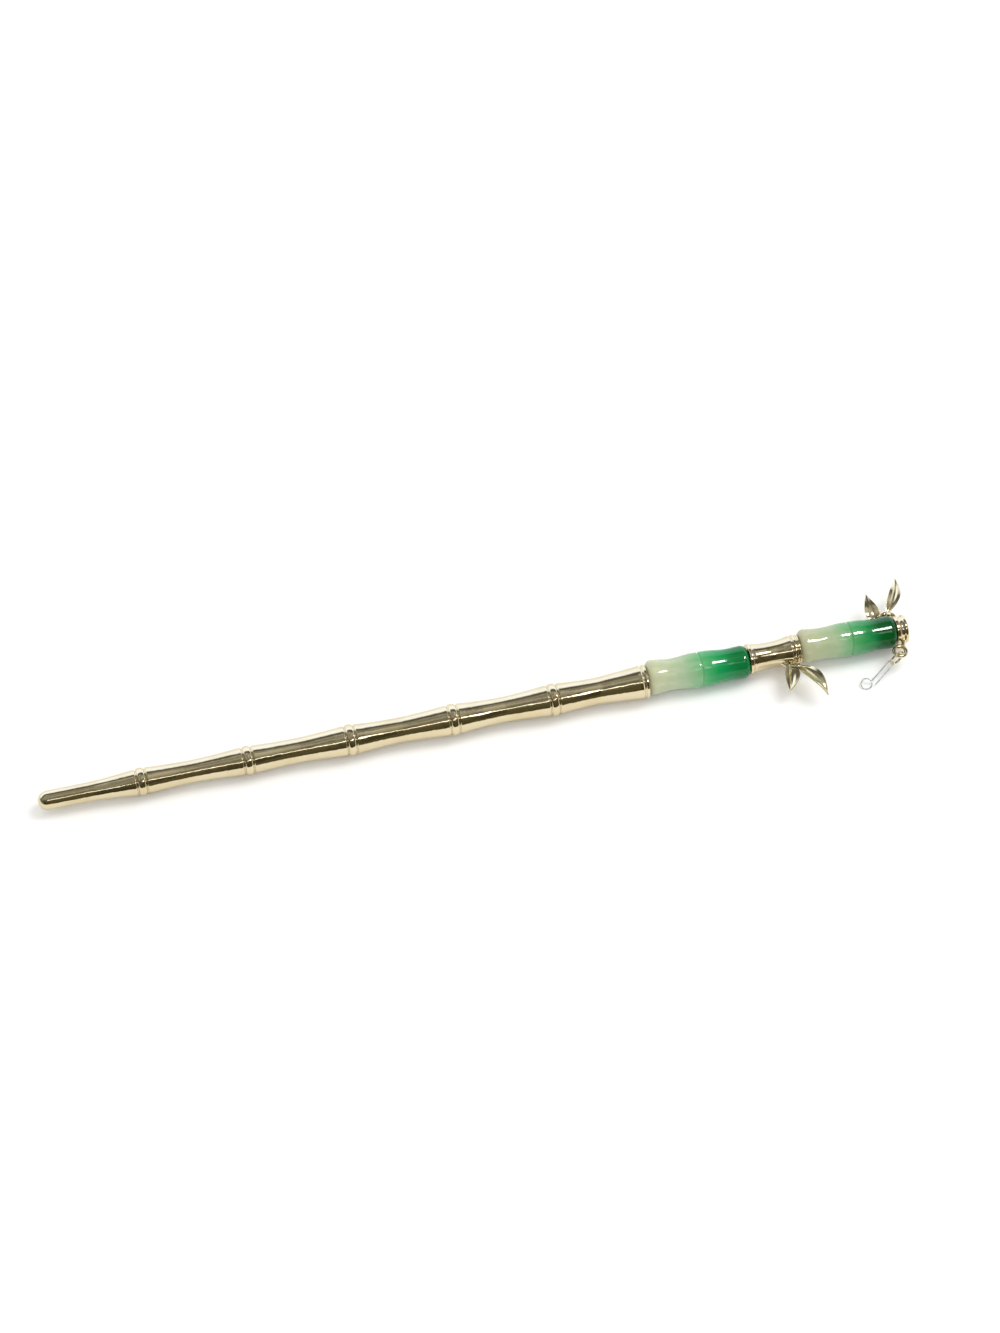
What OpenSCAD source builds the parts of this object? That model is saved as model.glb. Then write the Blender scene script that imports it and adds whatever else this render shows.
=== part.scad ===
// Hair stick in the form of a bamboo cane, lying on a flat surface.
// A cast stem carries two stone-coloured beads, a waisted link between them and an end cap.
// The stick runs along X with its tip at -X. A sprig of two leaves lies to either side, and Z is up.
// Sizes are in millimetres.

/* [Stem] */
// Radius of the rounded tip
tip_r = 1.9; // [1.6:0.02:2]
// Radius of the stem at its head end
stem_end_r = 3.5; // [3.2:0.05:3.6]
// Depth of the narrow groove on each side of a node ring
groove_depth = 0.26; // [0.1:0.02:0.4]
// Distance from the middle of a node ring to its grooves
groove_offset = 0.92; // [0.8:0.02:1.1]
// Height of a node ring above the shoulders beside it
ring_rise = 0.06; // [0.02:0.01:0.2]
// Depth of the small flats that the stem rests on
rest_flat = 0.06; // [0.02:0.01:0.08]

/* [Beads] */
// Length of the bead next to the stem
lower_bead_len = 21.4; // [19:0.1:23]
// Length of the bead next to the end cap
upper_bead_len = 20.5; // [18:0.1:22]
// Rounding of the bead ends
bead_corner = 1.5; // [0.8:0.1:1.8]
// Where the node groove lies along a bead, as a share of its length
bead_mid = 0.52; // [0.45:0.005:0.6]
// Radius of the hole drilled along the beads
bead_hole_r = 1.4; // [1.3:0.05:1.5]

/* [Link and end cap] */
// Length of the link between the beads
link_len = 10.5; // [9:0.1:12]
// Length of the end cap
cap_len = 2.2; // [2:0.1:3]
// Radius of the end cap at its rims
cap_r = 2.95; // [2.8:0.05:3.1]
// Radius of the hidden pin
pin_r = 0.75; // [0.6:0.05:0.8]
// How far the pin reaches into the stem
pin_depth = 9; // [6:1:12]

/* [Leaves] */
// Thickness of a leaf along its midrib
leaf_thick = 0.55; // [0.4:0.05:0.7]
// Thickness of a leaf at its edges
leaf_edge = 0.24; // [0.2:0.02:0.3]
// Rise of the edges above the midrib, as a share of the half width
leaf_fold = 0.42; // [0.2:0.02:0.6]

/* [Loop, ring and hook] */
// Radius of the fixed loop's centre line
loop_r = 1.2; // [1.1:0.05:1.25]
// Radius of the fixed loop's wire
loop_wire_r = 0.45; // [0.35:0.01:0.46]
// Radius of the jump ring's centre line
ring_r = 1.6; // [1.55:0.01:1.65]
// Radius of the jump ring's wire
ring_wire_r = 0.22; // [0.18:0.01:0.24]
// Radius of the hook's wire
hook_wire_r = 0.17; // [0.14:0.01:0.18]
// Distance from the hook's eye to the middle of its end ring
hook_reach = 6.56; // [6.4:0.01:7.3]
// Radius of the centre line of the hook's end ring
hook_ring_r = 1.1; // [1.05:0.01:1.15]

/* [Hidden] */

turned_fn = 96;
wire_fn = 24;
seam = 0.14;           // gap between the faces of neighbours on the pin
pin_fit = 0.05;        // gap round the pin in the stem and the cap
link_bore_r = 1.1;     // the link is a loose fit on the pin
past = 0.5;            // how far a cutting tool runs past a face
cap_floor = 0.8;       // metal left between the pin's bore and the outer face of the cap

// Internodes from the tip on: [length, waist radius, radius of the node ring at the head end, flare].
// A flare of 1 widens in a straight line towards the head end, and a larger one in a curve.
internodes = [
    [20.7, 1.94, 2.82, 1.4],
    [21.5, 2.29, 2.96, 1.4],
    [20.9, 2.52, 3.21, 1.4],
    [21.1, 2.57, 3.30, 1.4],
    [20.7, 2.60, 3.35, 1.4],
    [19.5, 2.75, stem_end_r + ring_rise, 1]
];
node_count = len(internodes) - 1;

// Radii of each bead: [stem-side end, waist, node, waist, head-side end].
lower_bead_radii = [3.62, 3.20, 3.58, 3.24, 3.42];
upper_bead_radii = [3.52, 3.20, 3.50, 3.20, 3.40];
bead_flat = 0.6;        // length at a bead's end before its wave begins
bead_crest = 1.3;       // half length of the straight crest round a bead's node
node_cut = 0.2;         // depth of the fine groove round a bead's node
node_cut_half = 0.2;    // half width of that groove

// Pieces on the pin sit a little out of line, towards the far side and up.
// Each row gives how far off the stem's axis a piece is: [at its stem side, at its head side].
off_line = [0, 0.82, 0.57];
lower_bead_off = [0.6, 0.02];
link_off = [0.36, 0.36];
upper_bead_off = [0.8, 0.2];
cap_off = 0.28;

// Places along the axis, from the tip.
stem_len = node_at(node_count);
lower_bead_at = stem_len + seam;
link_at = lower_bead_at + lower_bead_len + seam;
upper_bead_at = link_at + link_len + seam;
cap_at = upper_bead_at + upper_bead_len + seam;
stick_len = cap_at + cap_len;

// The stick rests on its third node ring and on the collar at the stem's end. Its tip is clear.
collar_at = stem_len - 0.55;
rest_at = node_at(2);
rest_r = internodes[2][2];
lean = atan((stem_end_r - rest_r) / (collar_at - rest_at));
axis_z = rest_r * cos(lean) - rest_at * sin(lean) - rest_flat;

// The part's box is centred on the origin, so the axis lies a little off it.
sprig_overhang = 1.89; // how far a leaf reaches past the end cap
axis_x = -(stick_len + sprig_overhang) / 2;
axis_y = -0.465;

// Leaves: [root, tip, width, fullness, arch, sway, roll, twist, curl], measured from the stick's axis.
// Fullness below 1 brings the widest place nearer to the root. Arch lifts the middle, sway bends it
// sideways, roll turns the blade about its length, twist adds to the roll towards the tip, and curl
// lifts the tip.
link_leaves = [
    [[-2.3, -2.8, -0.1], [-4.55, -9.75, 0.3], 2.9, 0.8, -0.4, -0.3, 16, -16, 0],
    [[-0.9, -4.4, 0.1], [2.8, -12.0, 0.8], 3.3, 0.8, 0.3, -0.3, 14, 6, -1.2]
];
cap_leaves = [
    [[-3.1, 3.9, -0.9], [-3.2, 10.2, -0.9], 2.6, 0.5, 1.0, -0.2, 8, 0, 1.1],
    [[-0.6, 4.4, 0.0], [3.8, 12.5, -1.1], 2.4, 1.05, 0.9, 0.7, -8, 0, 1.3]
];
leaf_steps = 12;
leaf_min_half = 0.07;   // half width kept at the pointed tip
leaf_root_half = 0.4;   // half width of the stalk

// Loop, jump ring and hook. The loop lies level with the axis, on the near side of the cap.
loop_centre = [cap_at - 0.6, -5.25, 0];
loop_place = loop_centre + off_line * cap_off;
ring_from_loop = [-0.9, -0.9, -0.84];
ring_turn = 115;
hook_on_ring = -15;     // angle round the jump ring where the hook hangs
hook_heading = 211;
hook_slope = 19.47;
hook_roll = 15;
hook_eye_r = 0.53;
hook_tail = 5.4;        // length of the leg that ends free
hook_ring_side = 0.36;  // how far the end ring's middle lies beside the long leg
hook_ring_gap = 24;     // opening of the end ring, in degrees

// Number of internodes passed gives the place of the node at their end.
function node_at(i) = internodes[i][0] + (i > 0 ? node_at(i - 1) : 0);

// Radius at share t of a stretch that goes from radius a to radius b through a waist.
function waisted(t, a, waist, b) = a + (b - a) * t - ((a + b) / 2 - waist) * bump(t);

// Radius at share t of an internode: it narrows gently to its waist, and flares out again to its end.
function flared(t, a, waist, b, flare) =
    t < 0.5 ? waist + (a - waist) * pow(1 - 2 * t, 2) : waist + (b - waist) * pow(2 * t - 1, flare);

// Relief of a node at distance x from its middle: a flat-topped ring between two grooves.
function node_relief(x) =
    ring_rise * exp(-pow(x / 0.62, 4))
    - groove_depth * exp(-pow((abs(x) - groove_offset) / 0.2, 2));

function internode_start_r(i) = i == 0 ? tip_r : internodes[i - 1][2] - ring_rise;

function internode_r(i, s) =
    let (begin = i == 0 ? 0 : node_at(i - 1))
    flared((s - begin) / internodes[i][0], internode_start_r(i), internodes[i][1],
        internodes[i][2] - ring_rise, internodes[i][3]);

function dome(s, r) = s < r ? sqrt(1 - pow(1 - s / r, 2)) : 1;

// Outline of the stem as [radius, place] pairs, from the tip to the collar at the head end.
node_stations = [-1.3, -1.1, -0.92, -0.74, -0.55, -0.25, 0, 0.25, 0.55, 0.74, 0.92, 1.1, 1.3];
internode_steps = 12;
tip_outline = [for (a = [0:15:75])
    let (s = tip_r * (1 - cos(a))) [internode_r(0, s) * dome(s, tip_r), s]];
stem_outline = [for (i = [0:node_count])
    each concat(
        [for (k = [0:internode_steps])
            let (
                begin = i == 0 ? tip_r : node_at(i - 1) + 1.5,
                end = node_at(i) - 1.5,
                s = begin + (end - begin) * k / internode_steps
            ) [internode_r(i, s), s]],
        i == node_count ? [] : [for (x = node_stations)
            let (at = node_at(i), side = x < 0 ? i : i + 1)
            [internode_r(side, at + x) + node_relief(x), at + x]]
    )];
collar_outline = [
    [stem_end_r - 0.04, stem_len - 1.1],
    [stem_end_r - 0.26, stem_len - 0.9],
    [stem_end_r - 0.26, stem_len - 0.75],
    [stem_end_r, collar_at],
    [stem_end_r, stem_len - 0.1],
    [stem_end_r - 0.1, stem_len],
    [0, stem_len]
];

// Radius of a bead at distance x from its stem-side end: a soft wave on either side of its node.
function bead_r(x, length, radii) =
    let (
        mid = bead_mid * length,
        first = x < mid,
        start = first ? bead_flat : mid + bead_crest,
        end = first ? mid - bead_crest : length - bead_flat,
        t = min(max((x - start) / (end - start), 0), 1),
        a = first ? radii[0] : radii[2],
        waist = first ? radii[1] : radii[3],
        b = first ? radii[2] : radii[4],
        from_end = min(x, length - x),
        corner = from_end < bead_corner
            ? bead_corner - sqrt(pow(bead_corner, 2) - pow(bead_corner - from_end, 2)) : 0
    )
    a + (b - a) * (1 - cos(180 * t)) / 2 - ((a + b) / 2 - waist) * pow(sin(180 * t), 2)
        - node_cut * exp(-pow((x - mid) / node_cut_half, 2)) - corner;

function bead_stations(length) =
    let (mid = bead_mid * length)
    concat(
        [for (a = [0:15:90]) bead_corner * (1 - cos(a))],
        [for (k = [1:9]) bead_corner + (mid - bead_crest - bead_corner) * k / 9],
        [for (x = [-0.5, -0.3, -0.15, 0, 0.15, 0.3, 0.5]) mid + x],
        [for (k = [0:8]) mid + bead_crest + (length - bead_corner - mid - bead_crest) * k / 9],
        [for (a = [90:-15:0]) length - bead_corner * (1 - cos(a))]
    );

// Half width of a leaf at share t of its length: a narrow stalk, a full middle and a long point.
function leaf_half(t, width, fullness) =
    max(leaf_min_half, width / 2 * pow(sin(180 * pow(t, fullness)), 0.9) + leaf_root_half * pow(1 - t, 3));

function bump(t) = 4 * t * (1 - t);
function unit(v) = v / norm(v);

// Place of a leaf's midrib at share t of its length.
function leaf_spine(row, t) =
    let (run = row[1] - row[0], side = unit(cross(run, [0, 0, 1])))
    row[0] + run * t + [0, 0, row[4] * bump(t) + row[8] * pow(t, 4)] + side * row[5] * bump(t);

// Across the blade: [share of the half width, share of the fold's rise, 1 on the upper face or 0 below].
blade_section = [
    [-1, 1, 1], [-0.5, 0.65, 1], [0, 0, 1], [0.5, 0.65, 1], [1, 1, 1],
    [1, 1, 0], [0.5, 0.65, 0], [0, 0, 0], [-0.5, 0.65, 0], [-1, 1, 0]
];

function leaf_ring(row, t) =
    let (
        step = 0.01,
        along = unit(leaf_spine(row, t + step) - leaf_spine(row, t - step)),
        flat_side = unit(cross(along, [0, 0, 1])),
        flat_up = cross(flat_side, along),
        turn = row[6] + row[7] * t,
        side = flat_side * cos(turn) + flat_up * sin(turn),
        up = flat_up * cos(turn) - flat_side * sin(turn),
        half = leaf_half(t, row[2], row[3])
    )
    [for (p = blade_section)
        let (
            thick = leaf_thick + (leaf_edge - leaf_thick) * abs(p[0]),
            rise = leaf_fold * half * p[1] + (p[2] - 0.5) * thick
        )
        leaf_spine(row, t) + side * half * p[0] + up * rise];

// Puts a piece on the pin, with its ends off the pin's line by the two amounts given.
module threaded(at, length, off) {
    translate([at, 0, 0] + off_line * off[0])
        rotate(atan2(off[1] - off[0], length), cross([1, 0, 0], off_line))
            children();
}

// Solid of revolution about X from [radius, place] pairs.
module turned(outline) {
    rotate([0, 90, 0])
        rotate_extrude($fn = turned_fn)
            polygon(outline);
}

// Bore along X, from one place on the axis to another.
module bore(r, from, to) {
    translate([from, 0, 0])
        rotate([0, 90, 0])
            cylinder(r = r, h = to - from, $fn = wire_fn * 2);
}

// Round wire bent to an arc about Z.
module wire_arc(r, wire_r, start, sweep) {
    rotate([0, 0, start])
        rotate_extrude(angle = sweep, $fn = turned_fn)
            translate([r, 0])
                circle(r = wire_r, $fn = wire_fn);
}

// Straight round bar from one point to another.
module bar(from, to, r1, r2) {
    run = to - from;
    translate(from)
        rotate([0, acos(run[2] / norm(run)), atan2(run[1], run[0])])
            cylinder(r1 = r1, r2 = r2, h = norm(run), $fn = wire_fn);
}

// Lays what is built along the X axis down on the surface.
module lay() {
    translate([axis_x, axis_y, axis_z])
        rotate([0, -lean, 0])
            children();
}
function laid(p) = [
    axis_x + p[0] * cos(lean) - p[2] * sin(lean),
    axis_y + p[1],
    axis_z + p[0] * sin(lean) + p[2] * cos(lean)
];

module leaf(row) {
    count = len(blade_section);
    points = [for (k = [0:leaf_steps]) each leaf_ring(row, k / leaf_steps)];
    walls = [for (k = [0:leaf_steps - 1], j = [0:count - 1])
        let (
            a = k * count + j,
            b = k * count + (j + 1) % count
        )
        each [[a, b + count, b], [a, a + count, b + count]]];
    root_end = [for (j = [0:count / 2 - 2])
        let (below = count - 1 - j)
        each [[j, j + 1, below - 1], [j, below - 1, below]]];
    last = leaf_steps * count;
    tip_end = [for (face = root_end) [last + face[0], last + face[2], last + face[1]]];
    polyhedron(points = points, faces = concat(walls, root_end, tip_end));
}

module stem() {
    color("#cdbf93")
        difference() {
            lay()
                difference() {
                    turned(concat(tip_outline, stem_outline, collar_outline));
                    bore(pin_r + pin_fit, stem_len - pin_depth, stem_len + past);
                }
            translate([axis_x, axis_y - stem_end_r, -past])
                cube([stem_len + past, 2 * stem_end_r, past]);
        }
}

module bead(length, radii) {
    difference() {
        turned(concat(
            [[0, 0]],
            [for (x = bead_stations(length)) [bead_r(x, length, radii), x]],
            [[0, length]]
        ));
        bore(bead_hole_r, -past, length + past);
    }
}

module lower_bead() {
    color("#5fb07a")
        lay()
            threaded(lower_bead_at, lower_bead_len, lower_bead_off)
                bead(lower_bead_len, lower_bead_radii);
}

module upper_bead() {
    color("#3f9a62")
        lay()
            threaded(upper_bead_at, upper_bead_len, upper_bead_off)
                bead(upper_bead_len, upper_bead_radii);
}

// Outline of the link: a flange cupped over the bead, a groove, a waisted body, a groove and a collar.
link_waist_r = 2.65;
link_left_r = 3.0;
link_right_r = 3.15;
link_outline = concat(
    [[0, 0], [2.4, 0], [3.0, -0.25], [3.13, -0.17], [3.13, 0.35], [2.85, 0.55], [2.85, 0.75]],
    [for (k = [0:8])
        let (t = k / 8)
        [waisted(t, link_left_r, link_waist_r, link_right_r), 0.95 + (link_len - 2.75) * t]],
    [
        [2.92, link_len - 1.6], [2.92, link_len - 1.4], [3.2, link_len - 1.2],
        [3.2, link_len - 0.75], [2.95, link_len - 0.6], [2.95, link_len - 0.45],
        [3.15, link_len - 0.3], [3.15, link_len - 0.1], [3.05, link_len], [0, link_len]
    ]
);

// Bent twig that carries a pair of leaves on the bud at its end.
twig_r = 0.45;
bud_r = 0.72;
module sprig(socket, elbow, fork, rows) {
    bar(socket, elbow, twig_r * 1.3, twig_r);
    translate(elbow)
        sphere(r = twig_r * 1.1, $fn = wire_fn);
    bar(elbow, fork, twig_r, twig_r);
    translate(fork)
        sphere(r = bud_r, $fn = 12);
    for (row = rows) {
        bar(fork, row[0], twig_r, leaf_root_half);
        leaf(row);
    }
}

module middle_link() {
    color("#c9b67c")
        lay()
            threaded(link_at, link_len, link_off)
                difference() {
                    union() {
                        turned(link_outline);
                        translate([link_len, 0, 0])
                            sprig([-4.4, -1.9, 0], [-3.2, -3.5, 0], [-1.2, -4.1, 0], link_leaves);
                    }
                    bore(link_bore_r, -past, link_len + past);
                }
}

// Outline of the end cap: a thin flange cupped over the bead, a shallow waist and a rounded outer rim.
cap_outline = [
    [0, 0], [2.35, 0], [cap_r - 0.1, -0.3], [cap_r, -0.22], [cap_r, 0.35], [cap_r - 0.22, 0.55],
    [cap_r - 0.3, 0.9], [cap_r - 0.25, 1.25], [cap_r - 0.02, 1.55], [cap_r, cap_len - 0.4],
    [cap_r - 0.1, cap_len - 0.14], [cap_r - 0.4, cap_len], [0, cap_len]
];

module end_cap() {
    neck_turn = 46;
    neck_end = loop_centre + loop_r * [cos(neck_turn), sin(neck_turn), 0];
    color("#c9b67c")
        lay()
            translate(off_line * cap_off)
                difference() {
                    union() {
                        translate([cap_at, 0, 0]) {
                            turned(cap_outline);
                            sprig([1.2, 2.2, 0], [0.7, 4.0, 0], [-1.0, 4.45, 0], cap_leaves);
                        }
                        translate(loop_centre)
                            wire_arc(loop_r, loop_wire_r, 0, 360);
                        bar([cap_at + 1.15, -2.3, 0], neck_end, 0.5, 0.4);
                    }
                    bore(pin_r + pin_fit, cap_at - past, stick_len - cap_floor);
                }
}

module core_pin() {
    pin_at = stem_len - pin_depth + seam;
    pin_len = stick_len - cap_floor - seam - pin_at;
    color("#a8a8a8")
        lay()
            threaded(pin_at, pin_len, [0, cap_off])
                bore(pin_r, 0, pin_len);
}

// The jump ring hangs through the fixed loop.
ring_centre = laid(loop_place) + ring_from_loop;
ring_normal = [cos(ring_turn), sin(ring_turn), 0];
ring_level = cross([0, 0, 1], ring_normal);
ring_upright = [0, 0, 1];

module jump_ring() {
    color("#cdbf93")
        translate(ring_centre)
            rotate([0, 90, ring_turn])
                wire_arc(ring_r, ring_wire_r, 0, 360);
}

// The hook is one wire: a free leg, a bend round the jump ring, a long leg and an open ring.
hook_at = ring_centre
    + ring_r * (cos(hook_on_ring) * ring_level + sin(hook_on_ring) * ring_upright);

module tassel_hook() {
    ring_middle = [hook_reach, -hook_eye_r - hook_ring_side, 0];
    meet = asin(hook_ring_side / hook_ring_r);
    leg_len = hook_reach - hook_ring_r * cos(meet);
    color("#d4d4d4")
        translate(hook_at)
            rotate([0, 0, hook_heading])
                rotate([0, hook_slope, 0])
                    rotate([-hook_roll, 0, 0]) {
                        wire_arc(hook_eye_r, hook_wire_r, 90, 180);
                        bar([0, hook_eye_r, 0], [hook_tail, hook_eye_r, 0], hook_wire_r, hook_wire_r);
                        bar([0, -hook_eye_r, 0], [leg_len, -hook_eye_r, 0], hook_wire_r, hook_wire_r);
                        translate([leg_len, -hook_eye_r, 0])
                            sphere(r = hook_wire_r * 1.15, $fn = wire_fn);
                        translate(ring_middle)
                            wire_arc(hook_ring_r, hook_wire_r, 180 - meet, 360 - hook_ring_gap);
                    }
}

stem();
lower_bead();
middle_link();
upper_bead();
end_cap();
core_pin();
jump_ring();
tassel_hook();
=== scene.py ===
"""A hair stick in the form of a bamboo cane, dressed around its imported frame. All sizes are in metres."""
import math

import bpy
from mathutils import Matrix, Vector


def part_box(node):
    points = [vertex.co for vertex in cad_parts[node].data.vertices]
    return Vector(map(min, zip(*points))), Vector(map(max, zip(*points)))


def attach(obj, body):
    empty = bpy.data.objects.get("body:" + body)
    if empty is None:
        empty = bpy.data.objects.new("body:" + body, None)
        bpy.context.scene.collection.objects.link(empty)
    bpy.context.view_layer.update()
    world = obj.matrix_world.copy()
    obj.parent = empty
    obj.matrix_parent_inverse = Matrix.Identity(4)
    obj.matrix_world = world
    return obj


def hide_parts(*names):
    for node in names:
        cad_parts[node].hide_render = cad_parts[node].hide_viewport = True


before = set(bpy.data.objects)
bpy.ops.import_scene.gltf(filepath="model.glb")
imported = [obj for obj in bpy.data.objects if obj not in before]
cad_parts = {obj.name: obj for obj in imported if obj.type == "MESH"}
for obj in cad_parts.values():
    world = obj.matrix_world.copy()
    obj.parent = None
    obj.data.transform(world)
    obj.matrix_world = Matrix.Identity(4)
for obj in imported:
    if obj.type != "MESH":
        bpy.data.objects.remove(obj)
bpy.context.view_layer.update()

mm = 0.001

# Stem: one zinc casting in the form of a bamboo cane, plated in pale champagne gold and polished.
# It is turned tip first about its own axis: six waisted internodes, five node rings between two
# narrow grooves each, and a thin collar where the first bead begins.
tip_r = 1.9 * mm
stem_end_r = 3.5 * mm
ring_rise = 0.06 * mm
ring_half = 0.62 * mm
groove_depth = 0.26 * mm
groove_offset = 0.92 * mm
groove_half = 0.2 * mm
pin_bore_r = 0.8 * mm
pin_depth = 9 * mm
# Length, waist radius, radius of the node ring at the head end, and flare: a flare of 1 widens in a
# straight line towards the head end, and a larger one in a curve.
internodes = [
    (20.7 * mm, 1.94 * mm, 2.82 * mm, 1.4),
    (21.5 * mm, 2.29 * mm, 2.96 * mm, 1.4),
    (20.9 * mm, 2.52 * mm, 3.21 * mm, 1.4),
    (21.1 * mm, 2.57 * mm, 3.30 * mm, 1.4),
    (20.7 * mm, 2.60 * mm, 3.35 * mm, 1.4),
    (19.5 * mm, 2.75 * mm, stem_end_r + ring_rise, 1),
]
nodes_at = [sum(row[0] for row in internodes[:count + 1]) for count in range(len(internodes))]
stem_len = nodes_at[-1]

# The stick rests on its third node ring and on the collar at the stem's end, which gives its lean.
# Both have a small flat there.
collar_at = stem_len - 0.55 * mm
rest_at, rest_r = nodes_at[2], internodes[2][2]
lean = math.atan((stem_end_r - rest_r) / (collar_at - rest_at))
rest_flat = 0.06 * mm
axis_z = rest_r * math.cos(lean) - rest_at * math.sin(lean) - rest_flat
stem_low, stem_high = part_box("stem")
tip_on_axis = Vector((stem_low.x, (stem_low.y + stem_high.y) / 2, axis_z))
laid = Matrix.Translation(tip_on_axis) @ Matrix.Rotation(-lean, 4, "Y")


def internode_r(index, place):
    """Radius of the cane's skin: it narrows gently to a waist, and flares out again to the next node."""
    length, waist, ring, flare = internodes[index]
    before = tip_r if index == 0 else internodes[index - 1][2] - ring_rise
    share = (place - (nodes_at[index] - length)) / length
    if share < 0.5:
        return waist + (before - waist) * (1 - 2 * share) ** 2
    return waist + (ring - ring_rise - waist) * (2 * share - 1) ** flare


def node_relief(offset):
    """Height of a node above the skin: a rounded ring between two grooves."""
    ring = ring_rise * math.exp(-(offset / ring_half) ** 4)
    groove = groove_depth * math.exp(-((abs(offset) - groove_offset) / groove_half) ** 2)
    return ring - groove


def spread(first, last, steps):
    """Evenly spaced places from the first to the last."""
    return [first + (last - first) * step / steps for step in range(steps + 1)]


def softened(corners, reach, steps=5):
    """Rounds the inner corners of an outline, each over this reach along both of its sides."""
    points = [Vector(corner) for corner in corners]
    outline = [points[0]]
    for before, corner, after in zip(points, points[1:], points[2:]):
        cut_in = min(reach, (before - corner).length * 0.45)
        cut_out = min(reach, (after - corner).length * 0.45)
        start = corner + (before - corner).normalized() * cut_in
        end = corner + (after - corner).normalized() * cut_out
        for t in spread(0, 1, steps):
            outline.append(start.lerp(corner, t).lerp(corner.lerp(end, t), t))
    return outline + [points[-1]]


def turned(name, outline, around=128, closed=False):
    """A piece turned about X from an outline of (place, radius) pairs. Its ends lie on the axis, or meet."""
    bpy.ops.object.select_all(action="DESELECT")
    bpy.ops.mesh.primitive_plane_add(size=mm)
    piece = bpy.context.object
    piece.name = piece.data.name = name
    bpy.ops.object.mode_set(mode="EDIT")
    bpy.ops.mesh.select_mode(type="VERT")
    bpy.ops.mesh.select_all(action="SELECT")
    bpy.ops.mesh.merge(type="CENTER")
    bpy.ops.transform.translate(value=(outline[0][0], 0, outline[0][1]))
    for here, there in zip(outline, outline[1:] + outline[:1] * closed):
        move = (there[0] - here[0], 0, there[1] - here[1])
        bpy.ops.mesh.extrude_region_move(TRANSFORM_OT_translate={"value": move})
    bpy.ops.mesh.select_all(action="SELECT")
    bpy.ops.mesh.spin(steps=around, angle=math.tau, center=(0, 0, 0), axis=(1, 0, 0))
    bpy.ops.mesh.select_all(action="SELECT")
    bpy.ops.mesh.remove_doubles(threshold=0.002 * mm)
    bpy.ops.mesh.normals_make_consistent(inside=False)
    bpy.ops.object.mode_set(mode="OBJECT")
    return piece


def settle(piece, place, smooth_below=40):
    """Brings a finished mesh to its place, with its own object at the origin, and smooths its shading."""
    bpy.ops.object.select_all(action="DESELECT")
    piece.select_set(True)
    bpy.context.view_layer.objects.active = piece
    piece.matrix_world = place
    bpy.ops.object.transform_apply(location=True, rotation=True, scale=True)
    bpy.ops.object.shade_smooth_by_angle(angle=math.radians(smooth_below))


stem_outline = [
    (tip_r * (1 - math.cos(angle)), internode_r(0, tip_r * (1 - math.cos(angle))) * math.sin(angle))
    for angle in spread(0, math.pi / 2, 16)
]
ring_reach = 1.5 * mm
for index, node_at in enumerate(nodes_at):
    begin = tip_r if index == 0 else nodes_at[index - 1] + ring_reach
    stem_outline += [(s, internode_r(index, s)) for s in spread(begin, node_at - ring_reach, 28)[1:]]
    if node_at < stem_len:
        for offset in spread(-ring_reach, ring_reach, 60)[1:]:
            side = index if offset < 0 else index + 1
            radius = internode_r(side, node_at + offset) + node_relief(offset)
            stem_outline.append((node_at + offset, radius))
collar_groove_r = stem_end_r - 0.26 * mm
stem_outline += [tuple(point) for point in softened([
    (stem_len - 1.25 * mm, stem_end_r - 0.05 * mm),
    (stem_len - 0.92 * mm, collar_groove_r),
    (stem_len - 0.76 * mm, collar_groove_r),
    (collar_at, stem_end_r),
    (stem_len - 0.06 * mm, stem_end_r),
    (stem_len, stem_end_r - 0.14 * mm),
    (stem_len, pin_bore_r),
    (stem_len - pin_depth, pin_bore_r),
    (stem_len - pin_depth, 0),
], 0.09 * mm)]
stem = turned("stem_cane", stem_outline)
settle(stem, laid)
# What reaches below the table is cut off, which leaves the two small flats that the stem rests on.
bpy.ops.object.mode_set(mode="EDIT")
bpy.ops.mesh.select_all(action="SELECT")
bpy.ops.mesh.bisect(plane_co=(0, 0, 0), plane_no=(0, 0, 1), use_fill=True, clear_inner=True, threshold=1e-7)
bpy.ops.object.mode_set(mode="OBJECT")


class Shade:
    """One socket of a material's nodes. Arithmetic on it adds Math nodes, and node() adds any other."""

    def __init__(self, tree, socket=None):
        self.tree = tree
        self.socket = socket

    def node(self, kind, settings=None, inputs=None, output=0):
        made = self.tree.nodes.new("ShaderNode" + kind)
        for name, value in (settings or {}).items():
            if name == "stops":
                ramp = made.color_ramp.elements
                for element, (place, colour) in zip(ramp, (value[0], value[-1])):
                    element.position = place
                    element.color = (*colour, 1)
                for place, colour in value[1:-1]:
                    ramp.new(place).color = (*colour, 1)
            else:
                setattr(made, name, value)
        for name, value in (inputs or {}).items():
            if isinstance(value, Shade):
                self.tree.links.new(value.socket, made.inputs[name])
            else:
                made.inputs[name].default_value = value
        return Shade(self.tree, made.outputs[output])

    def maths(self, operation, first, second=0.0):
        return self.node("Math", {"operation": operation}, {0: first, 1: second})

    def __add__(self, other):
        return self.maths("ADD", self, other)

    def __sub__(self, other):
        return self.maths("SUBTRACT", self, other)

    def __rsub__(self, other):
        return self.maths("SUBTRACT", other, self)

    def __mul__(self, other):
        return self.maths("MULTIPLY", self, other)

    def __truediv__(self, other):
        return self.maths("DIVIDE", self, other)

    __radd__ = __add__
    __rmul__ = __mul__


def new_finish(name):
    """An empty material: its nodes to build with, and its shader."""
    material = bpy.data.materials.new(name)
    material.use_nodes = True
    shader = next(node for node in material.node_tree.nodes if node.type == "BSDF_PRINCIPLED")
    return material, Shade(material.node_tree), shader


def cloud(shade, where, size, detail=2.0, stretch=(1, 1, 1)):
    """Soft noise whose blotches are about this size, drawn out along an axis by a stretch below 1."""
    mapped = shade.node("Mapping", inputs={"Vector": where, "Scale": stretch})
    return shade.node("TexNoise", inputs={"Vector": mapped, "Scale": 1 / size, "Detail": detail})


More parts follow.
